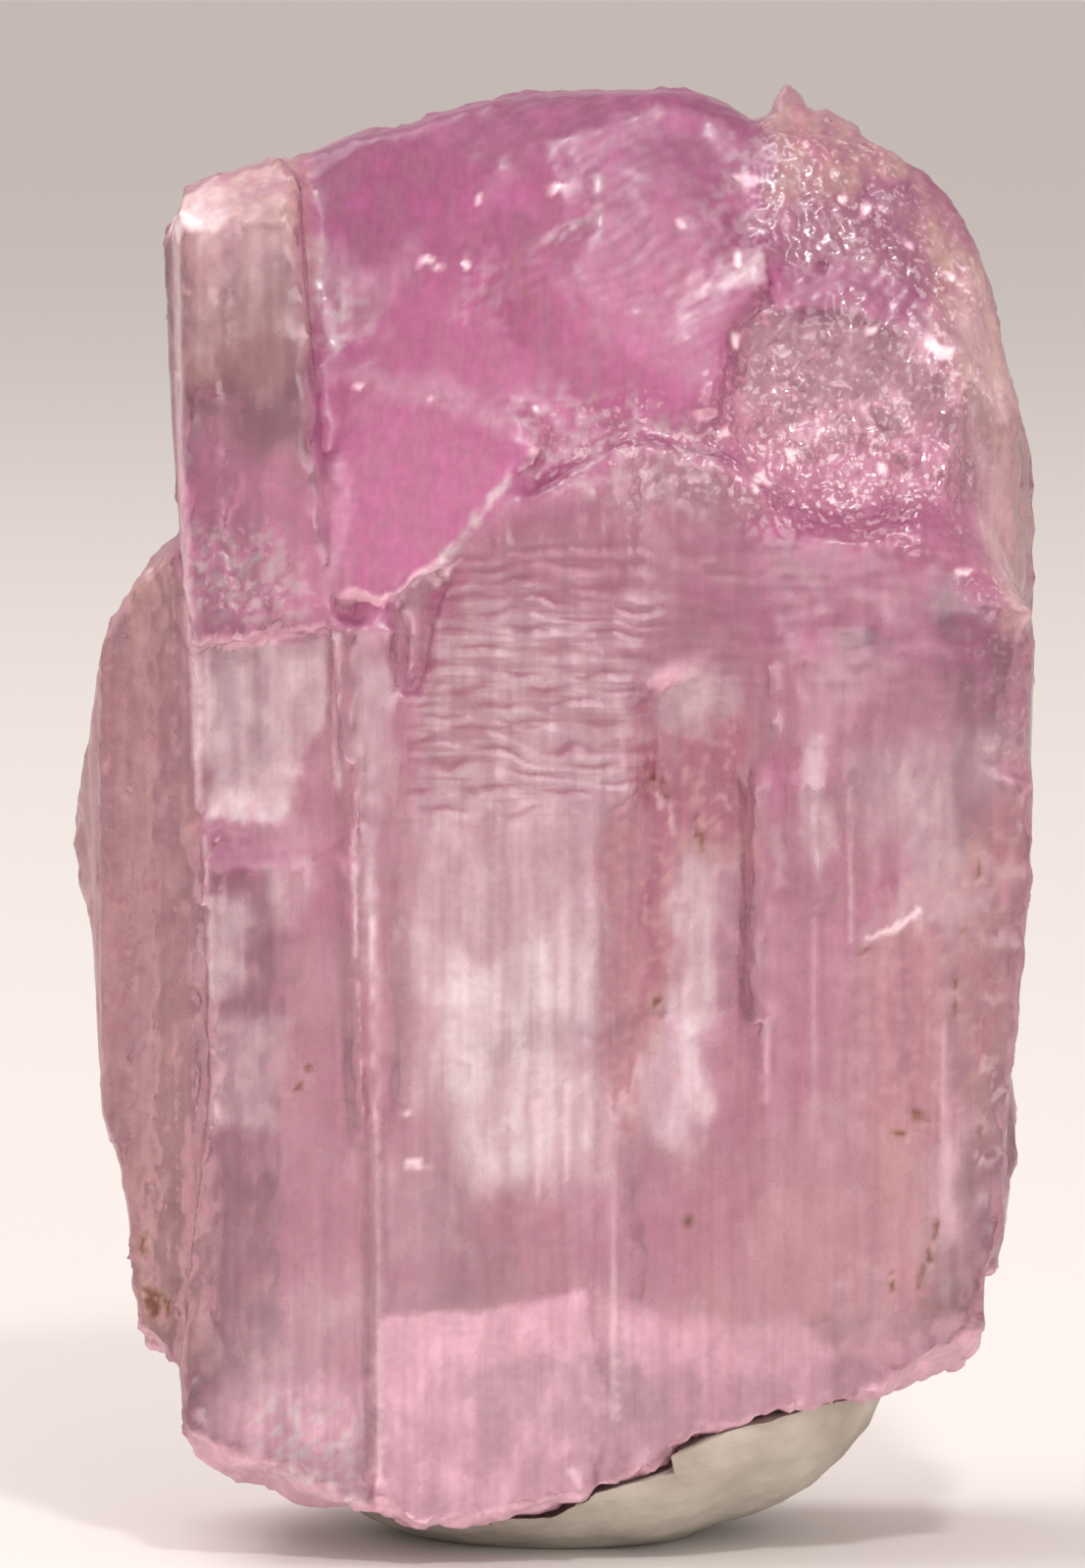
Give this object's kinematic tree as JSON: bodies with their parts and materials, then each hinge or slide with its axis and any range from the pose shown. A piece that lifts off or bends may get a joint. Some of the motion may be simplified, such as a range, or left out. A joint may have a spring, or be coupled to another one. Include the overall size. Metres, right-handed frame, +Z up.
{
  "type": "kunzite crystal",
  "caption": "Upright tabular pink crystal with vertical striations, stepped growth layers, an etched crown and a broken foot set in a mound of putty.",
  "frame": {"origin": "centre of the bounding box's footprint, on the surface that the putty rests on", "axes": "+Z up along the crystal's columns, -Y out of the broad front face, +X to the right as seen from the front"},
  "size_m": [0.0448, 0.0222, 0.0679],
  "materials": {
    "kunzite": "clear pink, glassy on the facets and satin where etched or striated",
    "putty": "matt grey mounting putty"
  },
  "bodies": {
    "root": {"kunzite_crystal": "kunzite", "putty_mound": "putty"}
  },
  "joints": []
}
